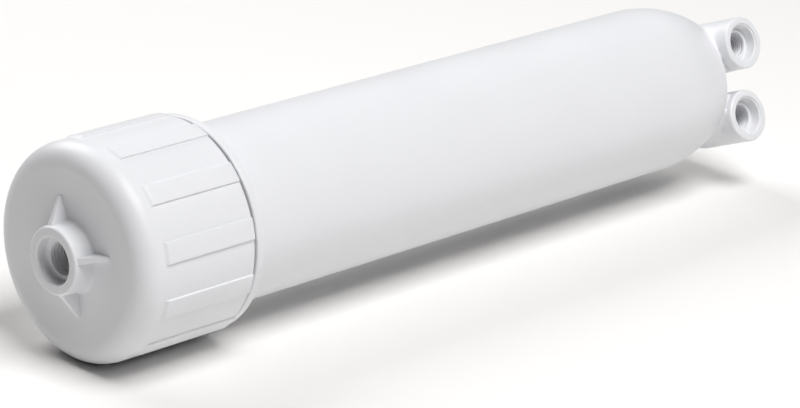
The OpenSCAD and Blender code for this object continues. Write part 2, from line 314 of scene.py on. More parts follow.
def lathe(name, outline, steps, closed=True):
    """Lays a ring of points on an outline of (x, radius) and spins it round the vessel's axis."""
    start_clean()
    bpy.ops.mesh.primitive_circle_add(vertices=len(outline), radius=MM, fill_type="NOTHING")
    piece = bpy.context.object
    piece.name = piece.data.name = name
    for point, (x, r) in zip(piece.data.vertices, outline):
        point.co = (x, 0, r)
    bpy.ops.object.mode_set(mode="EDIT")
    if not closed:
        ends = {0, len(outline) - 1}
        pick("EDGE", lambda edge: {v.index for v in edge.verts} == ends)
        bpy.ops.mesh.delete(type="EDGE")
    bpy.ops.mesh.select_mode(type="VERT")
    bpy.ops.mesh.select_all(action="SELECT")
    bpy.ops.mesh.spin(steps=steps, angle=math.tau, center=(0, 0, 0), axis=(1, 0, 0))
    bpy.ops.mesh.select_all(action="SELECT")
    bpy.ops.mesh.remove_doubles(threshold=DOUBLES)
    bpy.ops.mesh.normals_make_consistent(inside=False)
    done()
    return piece


def place_along(piece, origin, direction):
    """Turns a shape made along +X so that it lies along a direction from a point."""
    turn = AXIS.rotation_difference(direction).to_matrix().to_4x4()
    piece.data.transform(Matrix.Translation(origin) @ turn)


# Shares of a ridge's height: where its foot sits in the wall, and how far its ends sink
RIDGE_SUNK = -0.35
RIDGE_FADE = 1.05


def screw_ridge(wall, crest, base_w, top_w, pitch, turns, lead=0.12, steps=60):
    """A right-handed helical ridge along +X that starts at x = 0 and fades into its wall at both ends."""
    height = crest - wall
    section = [(-base_w, RIDGE_SUNK), (base_w, RIDGE_SUNK), (-top_w, 1), (top_w, 1)]
    start_clean()
    bpy.ops.mesh.primitive_plane_add(size=MM)
    ridge = bpy.context.object
    for point, (width, share) in zip(ridge.data.vertices, section):
        point.co = (width / 2, 0, wall + height * share)
    count = int(steps * turns)
    finish_modifier(
        ridge, "SCREW", axis="X", angle=math.tau * turns, screw_offset=pitch * turns, steps=count,
        render_steps=count, use_merge_vertices=False, use_normal_calculate=False,
    )
    points = coords(ridge)
    along = (np.arange(len(points)) // len(section)) / count
    from_end = np.minimum(along, 1 - along) * turns / lead
    fade = 1 - np.clip(from_end, 0, 1) * (2 - np.clip(from_end, 0, 1))
    r = np.hypot(points[:, 1], points[:, 2])
    points[:, 1:] *= (1 - fade * RIDGE_FADE * height / r)[:, None]
    put_coords(ridge, points)
    edit(ridge)
    bpy.ops.mesh.select_mode(type="EDGE")
    bpy.ops.mesh.select_all(action="SELECT")
    bpy.ops.mesh.fill_holes(sides=4)
    bpy.ops.mesh.normals_make_consistent(inside=False)
    done()
    return ridge


def merge_in(piece, *others):
    """Unites solids with a piece, so that the piece stays one closed skin."""
    for other in others:
        need_closed(other)
        finish_modifier(piece, "BOOLEAN", operation="UNION", solver="MANIFOLD", object=other)
        bpy.data.objects.remove(other)
    need_closed(piece)


def need_closed(piece):
    """Stops the script if a piece has an open or doubled edge."""
    work = bmesh.new()
    work.from_mesh(piece.data)
    faults = sum(not edge.is_manifold for edge in work.edges)
    work.free()
    if faults or not piece.data.polygons:
        raise RuntimeError(f"{piece.name} has {faults} open or doubled edges")


# ---------------------------------------------------------------- housing


# Hub of the end plate
HUB_R = 12.5 * MM
HUB_END = PORT_REAR - HUB_BACK
HUB_ROUND = MM

# Web that joins each side port's bar to the end plate: it stays inside the plate's rim and below the
# boss's cut, and its rough solid starts inside the dome
WEB_ROUND = MM / 4
WEB_INSET = 1.5 * MM
WEB_BLEND = 2 * MM
WEB_DROP = 1.2 * MM
WEB_ROOT = 4 * MM
ROUGH_INSET = 2 * MM
BOSS_FOOT_ROUND = 6 * MM

# A boss's fillet dies out over a run that ends a gap below the boss's cut, down to a least share
FILLET_GAP = 0.8 * MM
FILLET_RUN = 5 * MM
FILLET_LEAST = 0.05

# Mesh of the end block: slack of its rough solids, its cuts, and the seams bridged across them
BLOCK_LEAD = 8 * MM
SPARE = 3 * MM
DOME_CUT = 5.2 * MM
CUT_BACK = 1.8 * MM
SEAM = 0.5 * MM
BOSS_MARGIN = 0.25 * MM
CROWDED = 0.15 * MM
IN_PLANE = 2e-5
RING_NEAR = 40 * MM
MOUTH_NEAR = 12 * MM
SNAP_DEPTH = 0.01 * MM
SNAP_REACH = 0.3 * MM
SLOPE_STEP = 0.01 * MM
LEAST_SLOPE = 0.2
SHELL_STEPS = 240
DOME_STEPS = 96
MOUTH_STEPS = 96
ROUGH_STEPS = 64

# Inside of the end plate, and the permeate socket that the element's stub sits in
END_WALL = 4.7 * MM
SOCKET_RIM = 286 * MM
SOCKET_RIM_R = 9.9 * MM
SOCKET_NECK = 287.2 * MM
SOCKET_R = 9.05 * MM
SOCKET_FLOOR = 308.3 * MM

# Bore below a side port's thread, and the plain land above that thread
DRILL_R = 3 * MM
SIDE_LAND = 1.2 * MM


def dome_arc(size):
    """Radius of the arc from the end of the tube to the end plate's rim."""
    run = size.end_face - size.dome_start
    drop = size.tube_r - size.end_r
    return (run * run + drop * drop) / (2 * drop)


def dome_radius(size, x):
    """How far the dome stands from the axis at a place along the vessel."""
    arc_r = dome_arc(size)
    return size.tube_r - arc_r + math.sqrt(arc_r * arc_r - (x - size.dome_start) ** 2)


def soft_max(a, b, k):
    """Greater of two distances with a rounding of about k where they meet."""
    h = np.maximum(k - np.abs(a - b), 0) / k
    return np.maximum(a, b) + h * h * k / 4


def soft_min(a, b, k):
    """Lesser of two distances with the same rounding."""
    return -soft_max(-a, -b, k)


class Port:
    """One side port: its thread's mouth, how far across it sits, and where its boss starts and ends."""

    def __init__(self, name, foot):
        self.mouth = Vector(MOUNTS[name]["pos_m"])
        self.across = self.mouth.dot(SIDE_DIR)
        self.thread_mouth = self.mouth.dot(PORT_DIR)
        self.x = self.mouth.x
        self.foot = foot
        self.thread = MOUNTS[name]["dims"]["length_mm"] * MM

    def reach(self, size):
        """How far the boss's rim is from the vessel's axis."""
        return self.thread_mouth + size.side_seat

    def at(self, reach, x=None):
        """A point at a reach along the port, on its axis or beside it at another x."""
        return AXIS * (self.x if x is None else x) + PORT_DIR * reach + SIDE_DIR * self.across


PORT_FEET = {"permeate_port": -6 * MM, "concentrate_port": -5 * MM}
PORTS = [Port(name, foot) for name, foot in PORT_FEET.items()]


def end_distance(size, points):
    """Signed distance from the outside of the end block, with its fillets."""
    x = points[:, 0]
    q = points @ np.array(PORT_DIR)
    n = points @ np.array(SIDE_DIR)
    r = np.hypot(q, n)
    arc_r = dome_arc(size)
    dome = np.hypot(x - size.dome_start, r - (size.tube_r - arc_r)) - arc_r
    body = soft_max(dome, x - size.end_face, size.rim_round)
    hub = soft_max(r - HUB_R, x - HUB_END, HUB_ROUND)
    body = soft_min(body, hub, size.blend / 2)
    for port in PORTS:
        beside = n - port.across
        round_bar = np.hypot(x - port.x, beside) - size.port_r
        web = soft_max(np.abs(beside) - size.port_r, x - port.x, WEB_ROUND)
        web = soft_max(web, r - size.end_r + WEB_INSET, WEB_BLEND)
        below_cut = port.reach(size) - CUT_BACK - q
        web = soft_max(web, WEB_DROP - below_cut, WEB_BLEND)
        boss = soft_max(soft_min(round_bar, web, WEB_ROUND), port.foot - q, BOSS_FOOT_ROUND)
        # The fillet dies out below the rim, where the boss has to be round for its mouth
        near = np.clip((below_cut - FILLET_GAP) / FILLET_RUN, FILLET_LEAST, 1)
        body = soft_min(body, boss, size.blend * near)
    return body


def settle_on_surface(size, points, rounds=8):
    """Moves points along the slope of the distance until they lie on the end block's surface."""
    nudges = SLOPE_STEP * np.eye(3)
    for _ in range(rounds):
        value = end_distance(size, points)
        rises = [end_distance(size, points + row) - end_distance(size, points - row) for row in nudges]
        slope = np.stack([rise / (2 * SLOPE_STEP) for rise in rises], axis=1)
        square = np.maximum((slope**2).sum(1), LEAST_SLOPE)
        points = points - slope * (value / square)[:, None]
    return points


def even_out(piece, size, rounds=6):
    """Evens out the spacing of the end block's points while they stay on its surface."""
    mesh = piece.data
    edges = np.empty(len(mesh.edges) * 2, int)
    mesh.edges.foreach_get("vertices", edges)
    edges = edges.reshape(-1, 2)
    points = settle_on_surface(size, coords(piece))
    count = np.bincount(edges.ravel(), minlength=len(points))[:, None]
    for _ in range(rounds):
        total = np.zeros_like(points)
        np.add.at(total, edges[:, 0], points[edges[:, 1]])
        np.add.at(total, edges[:, 1], points[edges[:, 0]])
        points = points + 0.5 * (total / count - points)
        points = settle_on_surface(size, points, 2)
    put_coords(piece, settle_on_surface(size, points, 3))


def rough_block(size):
    """Overlapping solids of the end block, remeshed into even cells and settled on its surface."""
    low = size.dome_start + BLOCK_LEAD
    count = 8
    places = [low + (size.end_face - low) * i / count for i in range(count + 1)]
    outline = [(low, 0)] + [(x, dome_radius(size, x)) for x in places] + [(size.end_face, 0)]
    solids = [lathe("EndBlock", outline, DOME_STEPS)]
    bpy.ops.mesh.primitive_cylinder_add(vertices=ROUGH_STEPS, radius=HUB_R, depth=HUB_END - low)
    solids.append(bpy.context.object)
    hub_place = Matrix.Translation((low / 2 + HUB_END / 2, 0, 0))
    solids[-1].data.transform(hub_place @ Matrix.Rotation(math.pi / 2, 4, "Y"))
    port_turn = Matrix((AXIS, PORT_DIR, SIDE_DIR)).transposed().to_4x4()
    for port in PORTS:
        depth = port.reach(size) + SPARE - port.foot
        bpy.ops.mesh.primitive_cylinder_add(vertices=ROUGH_STEPS, radius=size.port_r, depth=depth)
        solids.append(bpy.context.object)
        solids[-1].data.transform(Matrix.Rotation(math.pi / 2, 4, "Y"))
        place_along(solids[-1], port.at(port.foot + depth / 2), PORT_DIR)
        web_end = math.sqrt((size.end_r - ROUGH_INSET) ** 2 - port.across**2)
        web = (port.x - size.end_face + WEB_ROOT, web_end - port.foot, 2 * size.port_r)
        bpy.ops.mesh.primitive_cube_add(size=1)
        solids.append(bpy.context.object)
        centre = port.at(port.foot + web[1] / 2, port.x - web[0] / 2)
        solids[-1].data.transform(Matrix.Translation(centre) @ port_turn @ Matrix.Diagonal((*web, 1)))
    block = join("EndBlock", solids)
    finish_modifier(block, "REMESH", mode="VOXEL", voxel_size=size.cell, adaptivity=0)
    # The flat ends of the rough solids lie off the surface, so they go before the rest settles
    trim_block(block, size, low + SPARE, -SPARE / 2)
    even_out(block, size)
    return block


def cut_loop(test, point, normal):
    """Cuts the picked part at a plane and clears what is past it."""
    pick("FACE", test)
    bpy.ops.mesh.bisect(plane_co=point, plane_no=normal, clear_outer=True, threshold=1e-6)


def boundary_near(point, normal, radius):
    """Test for an open edge that lies in a plane, within a radius of a point."""
    point = Vector(point)
    normal = Vector(normal)

    def near(edge):
        if not edge.is_boundary:
            return False
        offsets = [v.co - point for v in edge.verts]
        return all(abs(off.dot(normal)) < IN_PLANE and off.length < radius for off in offsets)

    return near


def trim_block(block, size, cut_x, back):
    """Opens the end block towards the tube, and its bosses at a distance back from their rims."""
    edit(block)
    cut_loop(lambda face: True, (cut_x, 0, 0), -AXIS)
    for port in PORTS:
        cut = port.reach(size) - back

        def on_boss(face, port=port, cut=cut):
            centre = face.calc_center_median()
            off = math.hypot(centre.x - port.x, centre.dot(SIDE_DIR) - port.across)
            return centre.dot(PORT_DIR) > cut - SPARE and off < size.port_r + BOSS_MARGIN

        cut_loop(on_boss, port.at(cut), PORT_DIR)
    done()


def port_mouth(size, port):
    """Rim, stepped seat, lip and bore of a side port, from the cut in its boss inwards."""
    reach = port.reach(size)
    bore_r = SIDE_THREAD_R + SIDE_THREAD_DEPTH
    seat = reach - size.side_seat
    lip = seat + 0.1 * MM
    bottom = seat - port.thread
    outline = rounded(
        [
            (reach - CUT_BACK + SEAM, size.port_r, 0),
            (reach, size.port_r, 0.8 * MM),
            (reach, size.seat_r, 0.1 * MM),
            (reach - 0.4 * MM, size.seat_r - 0.1 * MM, 0.12 * MM),
            (reach - 0.6 * MM, size.seat_r - 0.7 * MM, 0.5 * MM),
            (seat, SIDE_THREAD_R + 1.75 * MM, 0.3 * MM),
            (seat - 0.6 * MM, SIDE_THREAD_R + 1.4 * MM, 0.25 * MM),
            (lip, SIDE_THREAD_R + 1.05 * MM, 0.2 * MM),
            (lip, SIDE_THREAD_R + 0.1 * MM, 0.35 * MM),
            (seat - 1 * MM, SIDE_THREAD_R, 0.2 * MM),
            (seat - 1.3 * MM, bore_r, 0.1 * MM),
            (bottom, bore_r, 0.3 * MM),
            (bottom - 1.2 * MM, DRILL_R, 0.2 * MM),
            (0, DRILL_R, 0.3 * MM),
            (0, 0, 0),
        ],
        step=12,
    )
    mouth = lathe("Mouth", outline, MOUTH_STEPS, closed=False)
    place_along(mouth, port.at(0), PORT_DIR)
    return mouth


def port_ridge(start, length, crest_r, depth, pitch):
    """Pipe thread for the inside of a port, made along +X from a start."""
    widths = (0.92 * pitch, 0.2 * pitch)
    ridge = screw_ridge(crest_r + depth, crest_r, *widths, pitch, length / pitch, lead=0.25, steps=48)
    ridge.data.transform(Matrix.Translation((start, 0, 0)))
    return ridge


def snap_ring(piece, centre, direction, radius):
    """Puts the points that lie in a plane near a circle exactly on it."""
    points = coords(piece)
    centre = np.array(centre)
    direction = np.array(direction)
    off = points - centre
    along = off @ direction
    across = off - along[:, None] * direction
    size = np.linalg.norm(across, axis=1)
    near = (np.abs(along) < SNAP_DEPTH) & (np.abs(size - radius) < SNAP_REACH)
    points[near] = centre + across[near] * (radius / size[near])[:, None]
    put_coords(piece, points)


def bridge(piece, *loops):
    """Bridges two open loops, each given by the centre of its plane, its normal and a radius."""
    edit(piece)
    tests = [boundary_near(*loop) for loop in loops]
    pick("EDGE", lambda edge: any(test(edge) for test in tests))
    bpy.ops.mesh.bridge_edge_loops()
    done()


def housing_outline(size, cut_x):
    """Outline of the housing from the dome's cut round the mouth to the floor of the socket."""
    dome = [(x, dome_radius(size, x)) for x in np.linspace(cut_x, size.dome_start, 12)]
    tube_end = size.collar_x + size.collar_w + size.collar_fillet
    tube = [(x, size.tube_r) for x in np.linspace(size.dome_start, tube_end, 10)[1:-1]]
    ring_x = (RING_BOX[0][0] + RING_BOX[1][0]) / 2
    groove = size.groove_w / 2
    mouth = HOUSING_BOX[0][0]
    rear = size.collar_x + size.collar_w
    rest = rounded(
        [
            (tube[-1][0], size.tube_r, 0),
            (rear, size.tube_r, size.collar_fillet),
            (rear, size.collar_r, 0.7 * MM),
            (size.collar_x, size.collar_r, 0.7 * MM),
            (size.collar_x, size.core_r, 0.4 * MM),
            (size.nose_end, size.core_r, 0.2 * MM),
            (size.nose_end, size.nose_r, 0.2 * MM),
            (ring_x + groove, size.nose_r, 0.2 * MM),
            (ring_x + groove, size.groove_r, 0.3 * MM),
            (ring_x - groove, size.groove_r, 0.3 * MM),
            (ring_x - groove, size.nose_r, 0.2 * MM),
            (mouth, size.nose_r, 0.8 * MM),
            (mouth, size.bore_r + 1.6 * MM, 0.3 * MM),
            (mouth + 1.2 * MM, size.bore_r, 0.3 * MM),
            (size.dome_start + 6 * MM, size.bore_r, 3 * MM),
            (size.end_face - END_WALL, size.bore_r - 6 * MM, MM),
            (size.end_face - END_WALL, HUB_R, MM),
            (SOCKET_RIM, HUB_R, 0.5 * MM),
            (SOCKET_RIM, SOCKET_RIM_R, 0.3 * MM),
            (SOCKET_NECK, SOCKET_R, 0.2 * MM),
            (SOCKET_FLOOR, SOCKET_R, 0.5 * MM),
            (SOCKET_FLOOR, 0, 0),
        ]
    )
    return dome + tube[:-1] + rest


def tidy_loop(piece, loop):
    """Merges the crowded points of an open loop."""
    edit(piece)
    pick("EDGE", boundary_near(*loop))
    bpy.ops.mesh.select_mode(type="VERT")
    bpy.ops.mesh.remove_doubles(threshold=CROWDED)
    done()


def make_housing(size):
    """The one-piece housing: end block, tube, collar, mouth, thread and inside."""
    cut_x = size.end_face - DOME_CUT
    block = rough_block(size)
    trim_block(block, size, cut_x, CUT_BACK)
    ring = ((cut_x, 0, 0), AXIS, RING_NEAR)
    tidy_loop(block, ring)
    snap_ring(block, (cut_x, 0, 0), AXIS, dome_radius(size, cut_x))
    shell = lathe("Shell", housing_outline(size, cut_x - SEAM), SHELL_STEPS, closed=False)
    joints = [(ring, ((cut_x - SEAM, 0, 0), AXIS, RING_NEAR))]
    mouths = []
    for port in PORTS:
        cut = port.reach(size) - CUT_BACK
        loop = (port.at(cut), PORT_DIR, MOUTH_NEAR)
        tidy_loop(block, loop)
        snap_ring(block, port.at(cut), PORT_DIR, size.port_r)
        mouths.append(port_mouth(size, port))
        joints.append((loop, (port.at(cut + SEAM), PORT_DIR, MOUTH_NEAR)))
    housing = join("housing_shell", [block, shell] + mouths)
    for joint in joints:
        bridge(housing, *joint)
    edit(housing)
    bpy.ops.mesh.select_all(action="SELECT")
    bpy.ops.mesh.remove_doubles(threshold=DOUBLES)
    bpy.ops.mesh.normals_make_consistent(inside=False)
    done()
    need_closed(housing)
    thread = screw_ridge(size.core_r, size.crest_r, RIDGE_BASE, RIDGE_TOP, size.pitch, size.thread_turns)
    thread.data.transform(Matrix.Translation((size.thread_x, 0, 0)) @ Matrix.Rotation(math.pi / 2, 4, "X"))
    ridges = [thread]
    for port in PORTS:
        run = port.thread - SIDE_LAND
        ridges.append(port_ridge(-port.thread, run, SIDE_THREAD_R, SIDE_THREAD_DEPTH, SIDE_PITCH))
        place_along(ridges[-1], port.mouth, PORT_DIR)
    merge_in(housing, *ridges)
    return settle(housing, 35)


# ---------------------------------------------------------------- screw cap


# Feed port: its seat, the plain land above its thread, and how much less deep the thread is than the floor
FEED_SEAT_R = 8.1 * MM
FEED_LAND = 0.3 * MM
FEED_SHORT = 0.9 * MM

# Dished face: where it takes over from the boss's fillet, and shares of its depth there and at the boss
DISH_START = 15 * MM
DISH_START_SHARE = 0.76
BOSS_ROOT_SHARE = 0.84

# Inside of the cap: end of the ring's bore, front of the threaded part, the turns of its thread and
# how many turns behind the housing's thread it starts
SEAL_BORE_END = 22.1 * MM
THREADED_FROM = 23.6 * MM
CAP_THREAD_TURNS = 2.7
CAP_THREAD_LAG = 1.5

# Ribs: chamfer of the cap's rear edge, spin steps of a sector and of its rib, softness of their edges,
# and the least angle of such an edge
RIB_END = 0.2 * MM
SECTOR_STEPS = 20
RIB_STEPS = 8
RIB_SOFT = 0.22 * MM
RIB_EDGE = math.radians(25)

# Fins: depth of their root inside the boss, softness of their edges, and their number
FIN_ROOT = 1.6 * MM
FIN_SOFT = 0.4 * MM
FIN_COUNT = 4


def cap_outline(size):
    """Closed outline of the cap: feed port, boss, dished face, rounded edge, side and inside."""
    bore_r = THREAD_R + THREAD_DEPTH
    crest_r = size.cap_r - size.round_r
    boss = rounded(
        [
            (size.floor_x, bore_r, 0),
            (0.65 * MM, bore_r, 0.1 * MM),
            (FEED_LAND, THREAD_R, 0.1 * MM),
            (0, THREAD_R + 0.15 * MM, 0.15 * MM),
            (0, FEED_SEAT_R - 0.25 * MM, 0.8 * MM),
            (-size.seat + 0.55 * MM, FEED_SEAT_R, 0.2 * MM),
            (-size.seat, FEED_SEAT_R + 0.35 * MM, 0.2 * MM),
            (-size.seat, size.boss_r, MM),
            (size.crest_x + size.dish * BOSS_ROOT_SHARE, size.boss_r + 0.5 * MM, 1.2 * MM),
            (size.crest_x + size.dish * DISH_START_SHARE, DISH_START, 0),
        ],
        step=12,
    )
    dish = [
        (size.crest_x + size.dish * (1 - (r / crest_r) ** 2), r)
        for r in np.linspace(DISH_START, crest_r - MM, 10)[1:]
    ]
    edge = arc((size.crest_x + size.round_r, crest_r), size.round_r, 180, 90, step=6)
    rear = CAP_BOX[1][0]
    middle = np.linspace(size.rib_foot + 8 * MM, rear - 6 * MM, 5)
    side = [(x, size.cap_r) for x in (size.rib_foot, size.rib_foot + 2 * MM, *middle)]
    inside = rounded(
        [
            (rear - RIB_END, size.cap_r, 0),
            (rear, size.cap_r - RIB_END, 0.1 * MM),
            (rear, size.root_r + 0.8 * MM, 0.3 * MM),
            (rear - 0.8 * MM, size.root_r, 0.2 * MM),
            (THREADED_FROM, size.root_r, 0.3 * MM),
            (SEAL_BORE_END, size.seal_r, 0.3 * MM),
            (size.floor_x, size.seal_r, 0.8 * MM),
            (size.floor_x, bore_r + 0.5 * MM, 0),
        ]
    )
    return boss + dish + edge + side + inside


def rib_half(size):
    """Half the angle that a rib takes up."""
    return math.asin(size.rib_w / 2 / (size.cap_r + size.rib_proud))


def sector_angle(size, a):
    """Moves an even spin angle so that its steps fall on the edges of the ribs."""
    sector = math.tau / size.rib_count
    half = rib_half(size)
    even_half = sector * RIB_STEPS / SECTOR_STEPS / 2
    k = np.round(a / sector)
    off = a - k * sector
    inner = off * half / even_half
    past = np.abs(off) - even_half
    outer = np.sign(off) * (half + past * (sector / 2 - half) / (sector / 2 - even_half))
    return k * sector + np.where(np.abs(off) <= even_half + 1e-6, inner, outer)


def align_to_ribs(piece, size):
    """Turns the spun cap so that its ribs lie at their angles, and fits its steps to their edges."""
    points = coords(piece)
    angle = np.arctan2(points[:, 2], -points[:, 1])
    r = np.hypot(points[:, 1], points[:, 2])
    start = math.pi / 2
    angle = sector_angle(size, angle - start) + size.turn
    points[:, 1] = -r * np.cos(angle)
    points[:, 2] = r * np.sin(angle)
    put_coords(piece, points)


def rib_off(size, place):
    """Angle from the nearest rib's middle, in radians."""
    sector = math.tau / size.rib_count
    a = math.atan2(place.z, -place.y) - size.turn
    return a - round(a / sector) * sector


def raise_ribs(piece, size):
    """Extrudes the grip ribs out of the cap's side, slants their fronts and softens their edges."""
    half = rib_half(size)
    rear = CAP_BOX[1][0] - RIB_END
    edit(piece)

    def on_rib(face):
        centre = face.calc_center_median()
        out = math.hypot(centre.y, centre.z)
        inside_x = size.rib_foot < centre.x < rear
        return inside_x and out > size.cap_r - 0.1 * MM and abs(rib_off(size, centre)) < half

    pick("FACE", on_rib)
    bpy.ops.mesh.extrude_region_shrink_fatten(
        TRANSFORM_OT_shrink_fatten={"value": size.rib_proud, "use_even_offset": True}
    )
    proud = size.cap_r + 0.5 * size.rib_proud
    front = size.rib_foot + 0.1 * MM
    pick("VERT", lambda v: math.hypot(v.co.y, v.co.z) > proud and v.co.x < front)
    bpy.ops.transform.translate(value=(size.rib_slant, 0, 0))

    def rib_edge(edge):
        if len(edge.link_faces) != 2 or edge.calc_face_angle(0) < RIB_EDGE:
            return False
        return all(math.hypot(v.co.y, v.co.z) > proud for v in edge.verts)

    pick("EDGE", rib_edge)
    bpy.ops.mesh.bevel(offset=RIB_SOFT, segments=2, affect="EDGES", clamp_overlap=True)
    done()


def make_fin(size, angle):
    """A thin gusset from the boss's rim down to a blunt tip on the cap's face."""
    outline = [
        (MM - size.seat, size.boss_r - FIN_ROOT),
        (MM - size.seat, size.boss_r + 0.05 * MM),
        (size.crest_x, size.fin_reach),
        (size.crest_x + size.dish + MM, size.fin_reach),
        (size.floor_x - MM, size.boss_r - FIN_ROOT),
    ]
    bpy.ops.mesh.primitive_circle_add(vertices=len(outline), radius=MM, fill_type="NGON")
    fin = bpy.context.object
    for point, (x, r) in zip(fin.data.vertices, outline):
        point.co = (x, -r, -size.fin_w / 2)
    edit(fin)
    bpy.ops.mesh.select_all(action="SELECT")
    bpy.ops.mesh.extrude_region_move(TRANSFORM_OT_translate={"value": (0, 0, size.fin_w)})
    bpy.ops.mesh.select_all(action="SELECT")
    bpy.ops.mesh.normals_make_consistent(inside=False)
    done()
    points = coords(fin)
    slimmer = [1, size.fin_tip / size.fin_w]
    points[:, 2] *= np.interp(-points[:, 1], [size.boss_r, size.fin_reach], slimmer)
    put_coords(fin, points)
    edit(fin)
    seen_x = size.crest_x + 0.1 * MM
    pick("EDGE", lambda edge: all(v.co.x < seen_x and -v.co.y > size.boss_r for v in edge.verts))
    bpy.ops.mesh.bevel(offset=FIN_SOFT, segments=4, affect="EDGES")
    done()
    fin.data.transform(Matrix.Rotation(-angle, 4, "X"))
    return fin


def make_cap(size, housing):
    """The screw cap with its ribs, fins, bore and both threads."""
    cap = lathe("screw_cap_shell", cap_outline(size), size.rib_count * SECTOR_STEPS)
    align_to_ribs(cap, size)
    raise_ribs(cap, size)
    turns = CAP_THREAD_TURNS
    inner = screw_ridge(size.root_r, size.crest_r, RIDGE_BASE, RIDGE_TOP, housing.pitch, turns)
    inner_x = housing.thread_x + CAP_THREAD_LAG * housing.pitch
    inner.data.transform(Matrix.Translation((inner_x, 0, 0)) @ Matrix.Rotation(math.pi / 2, 4, "X"))
    pipe = port_ridge(FEED_LAND, size.floor_x - FEED_SHORT, THREAD_R, THREAD_DEPTH, PIPE_PITCH)
    fins = [make_fin(size, size.turn + math.tau / FIN_COUNT * i) for i in range(FIN_COUNT)]
    merge_in(cap, inner, pipe, *fins)
    return settle(cap, 32)


# ---------------------------------------------------------------- materials


class Value:
    """A socket that takes part in Python sums, each of which adds a Math node."""

    def __init__(self, shader, socket):
        self.shader = shader
        self.socket = socket

    def maths(self, kind, *values):
        """Adds a Math node that starts from this value."""
        inputs = dict(enumerate((self,) + values))
        return self.shader.node("ShaderNodeMath", {"operation": kind}, inputs)

    def __add__(self, other):
        return self.maths("ADD", other)

    def __sub__(self, other):
        return self.maths("SUBTRACT", other)

    def __rsub__(self, other):
        return self.maths("MULTIPLY_ADD", -1, other)

    def __mul__(self, other):
        return self.maths("MULTIPLY", other)

    def __truediv__(self, other):
        return self.maths("DIVIDE", other)

    __radd__ = __add__
    __rmul__ = __mul__

    def between(self, low, high):
        """0 below the low value, 1 above the high one, and smooth between them."""
        inputs = {"Value": self, "From Min": low, "From Max": high}
        settings = {"data_type": "FLOAT", "interpolation_type": "SMOOTHSTEP"}
        return self.shader.node("ShaderNodeMapRange", settings, inputs)


class Shader:
    """The nodes of one material around its Principled shader."""

    def __init__(self, name, **constants):
        self.material = bpy.data.materials.new(name)
        self.material.use_nodes = True
        self.nodes = self.material.node_tree.nodes
        self.links = self.material.node_tree.links
        self.skin = self.nodes["Principled BSDF"]
        for socket, value in constants.items():
            self.skin.inputs[socket.replace("_", " ")].default_value = value
        self.place = self.node("ShaderNodeTexCoord", output="Object")

    def node(self, kind, settings=None, inputs=None, output=0):
        """Any node: its settings first, then its inputs' values or links, and then one output."""
        item = self.nodes.new(kind)
        for key, value in (settings or {}).items():
            setattr(item, key, value)
        for key, value in (inputs or {}).items():
            if isinstance(value, Value):
                self.links.new(value.socket, item.inputs[key])
            else:
                item.inputs[key].default_value = value
        return Value(self, item.outputs[output])

    def noise(self, size, detail, stretch=(1, 1, 1)):
        """Cloudy pattern of 0 to 1 with features of about a size, drawn out along an axis if stretched."""
        place = self.place
        if stretch != (1, 1, 1):
            inputs = {0: place, 1: tuple(1 / part for part in stretch)}
            place = self.node("ShaderNodeVectorMath", {"operation": "MULTIPLY"}, inputs)
        inputs = {"Vector": place, "Scale": 1 / size, "Detail": detail}
        return self.node("ShaderNodeTexNoise", {"noise_dimensions": "3D"}, inputs, "Fac")

    def around(self):
        """Place along the vessel, angle about it and radius, all as values."""
        x, y, z = (self.node("ShaderNodeSeparateXYZ", None, {0: self.place}, axis) for axis in "XYZ")
        angle = z.maths("ARCTAN2", y)
        radius = (y * y + z * z).maths("SQRT")
        return x, angle, radius

    def mix(self, mask, under, over):
        """Mixes two colours by a mask. Each is a flat colour or comes from another mix."""
        colours = [part if isinstance(part, Value) else (*part, 1) for part in (under, over)]
        inputs = {"Factor": mask, 6: colours[0], 7: colours[1]}
        return self.node("ShaderNodeMix", {"data_type": "RGBA"}, inputs, 2)

    def tones(self, mask, colour, dark, light):
        """One colour in two tones, mixed by a mask: each tone is a factor."""
        return self.mix(mask, shade(colour, dark), shade(colour, light))

    def bump(self, height, depth):
        """Relief of a given depth in metres."""
        inputs = {"Strength": 1.0, "Distance": depth, "Height": height}
        return self.node("ShaderNodeBump", None, inputs)

    def finish(self, colour, roughness, normal):
        """Connects the finished skin and returns the material."""
        for socket, value in (("Base Color", colour), ("Roughness", roughness), ("Normal", normal)):
            self.links.new(value.socket, self.skin.inputs[socket])
        return self.material


def shade(colour, factor):
    """A colour made darker or lighter."""
    return tuple(min(part * factor, 1) for part in colour)


def polypropylene(colours, name):
    """White moulding: faint clouding, orange peel, fine grain and a few handling marks."""
    shader = Shader(
        name, Subsurface_Weight=0.12, Subsurface_Radius=(1, 1, 0.95), Subsurface_Scale=2 * MM, IOR=1.49
    )
    cloud = shader.noise(28 * MM, 3)
    peel = shader.noise(2.6 * MM, 1)
    grain = shader.noise(0.28 * MM, 2)
    flow = shader.noise(2.2 * MM, 2, (9, 1, 1))
    marks = shader.noise(1.6 * MM, 4, (1, 6, 1)).between(0.68, 0.8)
    dirt = shader.noise(7 * MM, 5).between(0.66, 0.86)
    haze = cloud * 0.7 + flow * 0.3
    colour = shader.tones(haze, colours.plastic, 0.975, 1.015)
    colour = shader.mix(dirt * 0.12, colour, shade(colours.plastic, 0.8))
    roughness = 0.36 + cloud * 0.08 + grain * 0.05 + marks * 0.14
    relief = shader.bump(peel * 0.75 + grain * 0.12 + marks * 0.1, 0.035 * MM)
    return shader.finish(colour, roughness, relief)


def seal_rubber(colours):
    """Black rubber with a matt bloom and a fine grain."""
    shader = Shader("seal_rubber", Specular_IOR_Level=0.4)
    bloom = shader.noise(5 * MM, 4)
    grain = shader.noise(0.18 * MM, 2)
    colour = shader.tones(bloom.between(0.35, 0.75), colours.rubber, 0.8, 2.2)
    relief = shader.bump(grain, 0.012 * MM)
    return shader.finish(colour, 0.42 + bloom * 0.25, relief)


